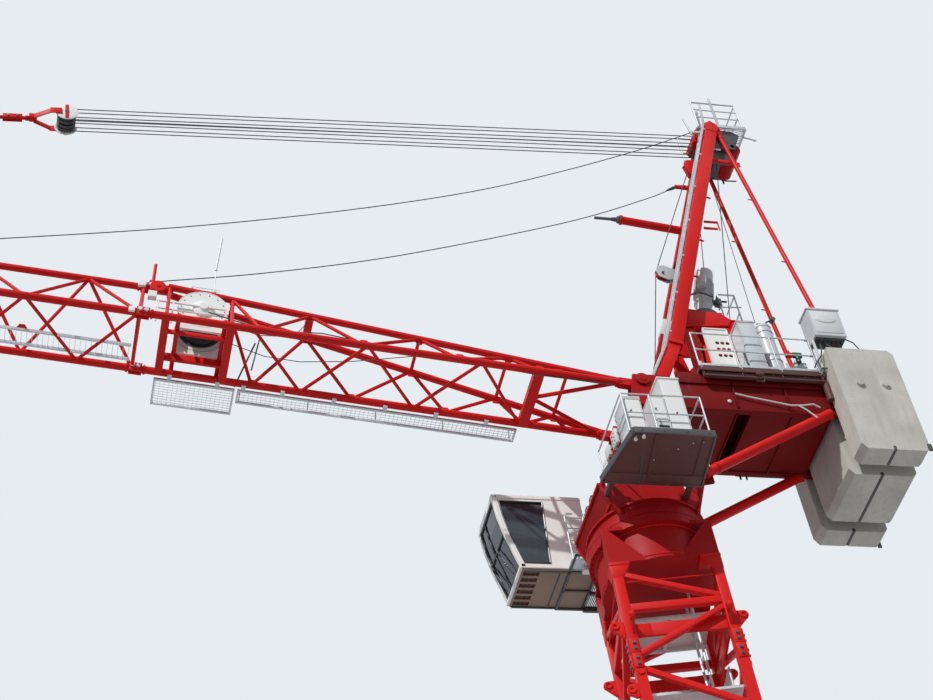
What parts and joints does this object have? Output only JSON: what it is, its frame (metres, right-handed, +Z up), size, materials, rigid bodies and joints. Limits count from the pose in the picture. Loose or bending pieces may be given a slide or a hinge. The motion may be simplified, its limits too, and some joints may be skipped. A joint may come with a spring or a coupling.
{
  "type": "luffing-jib tower crane, 1:2 scale model",
  "caption": "Luffing-jib tower crane with a lattice mast, slewing turret, leaning A-frame, lattice jib, cab and concrete counterweights.",
  "frame": {"origin": "centre of the underside of the foundation cross", "axes": "+X along the jib at rest, +Y towards the switch cabinets, +Z up"},
  "size_m": [24.9118, 2.98, 16.8043],
  "materials": {
    "red_paint": "satin red paint",
    "galvanised_steel": "matt galvanised",
    "deck_steel": "dark red-brown primer",
    "wire_rope": "greased wire rope",
    "machined_steel": "oiled steel",
    "cabinet_paint": "grey powder coat",
    "cream_paint": "cream gloss paint",
    "machine_paint": "pale grey enamel",
    "tinted_glass": "dark tinted",
    "concrete": "cast concrete",
    "black_paint": "black enamel"
  },
  "bodies": {
    "mast": {"foundation_cross": "red_paint", "mast_section_1": "red_paint", "mast_section_2": "red_paint", "mast_section_3": "red_paint", "mast_head": "red_paint", "slewing_drum": "red_paint", "mast_access": "galvanised_steel", "slewing_ring": "red_paint"},
    "jib": {"jib_pivot_section": "red_paint", "jib_section_1": "red_paint", "jib_section_2": "red_paint", "jib_section_3": "red_paint", "jib_section_4": "red_paint", "jib_section_5": "red_paint", "jib_section_6": "red_paint", "jib_head": "red_paint", "jib_walkway": "galvanised_steel", "hoist_winch": "black_paint", "winch_cover": "cream_paint"},
    "pendants": {"pendants": "red_paint"},
    "falls": {"luffing_falls": "wire_rope", "hoist_rope_front": "wire_rope"},
    "rear_rope": {"hoist_rope_rear": "wire_rope"},
    "upperworks": {"turret": "red_paint", "hinge_pins": "machined_steel", "side_platform": "deck_steel", "side_rails": "galvanised_steel", "switch_cabinets": "cabinet_paint", "cab_shell": "cream_paint", "cab_glass": "tinted_glass", "cab_access": "galvanised_steel", "counter_jib": "red_paint", "counter_braces": "red_paint", "deck": "deck_steel", "deck_rails": "galvanised_steel", "counterweights": "concrete", "luffing_winch": "red_paint", "winch_drive": "machine_paint", "deck_machinery": "machine_paint", "a_frame": "red_paint", "backstays": "red_paint", "rope_sheaves": "red_paint", "apex_platform": "galvanised_steel", "luff_stop": "red_paint", "standing_ropes": "wire_rope"}
  },
  "joints": [
    {"name": "slew", "type": "hinge", "parent": "mast", "child": "upperworks", "pos_m": [0, 0, 8.625], "axis": [0, 0, 1], "continuous": true},
    {"name": "luff", "type": "hinge", "parent": "upperworks", "child": "jib", "pos_m": [-0.21, 0, 10.715], "axis": [0, -1, 0], "range_deg": [0, 72], "deforming": ["luffing_falls", "hoist_rope_rear", "hoist_rope_front"]},
    {"name": "pendant_swing", "type": "hinge", "parent": "jib", "child": "pendants", "pos_m": [20.96215, 0, 14.4165], "axis": [0, -1, 0], "range_deg": [0, 10]},
    {"name": "falls_swing", "type": "hinge", "parent": "upperworks", "child": "falls", "pos_m": [-2.25, 0, 15.935], "axis": [0, -1, 0], "range_deg": [0, 90]},
    {"name": "rear_rope_swing", "type": "hinge", "parent": "upperworks", "child": "rear_rope", "pos_m": [-1.725, 0, 15.02], "axis": [0, -1, 0], "range_deg": [0, 90]}
  ],
  "couplings": [
    {"joint": "pendant_swing", "follows": "luff", "ratio": 0.05899},
    {"joint": "falls_swing", "follows": "luff", "ratio": 1.059},
    {"joint": "rear_rope_swing", "follows": "luff", "ratio": 0.84807}
  ]
}
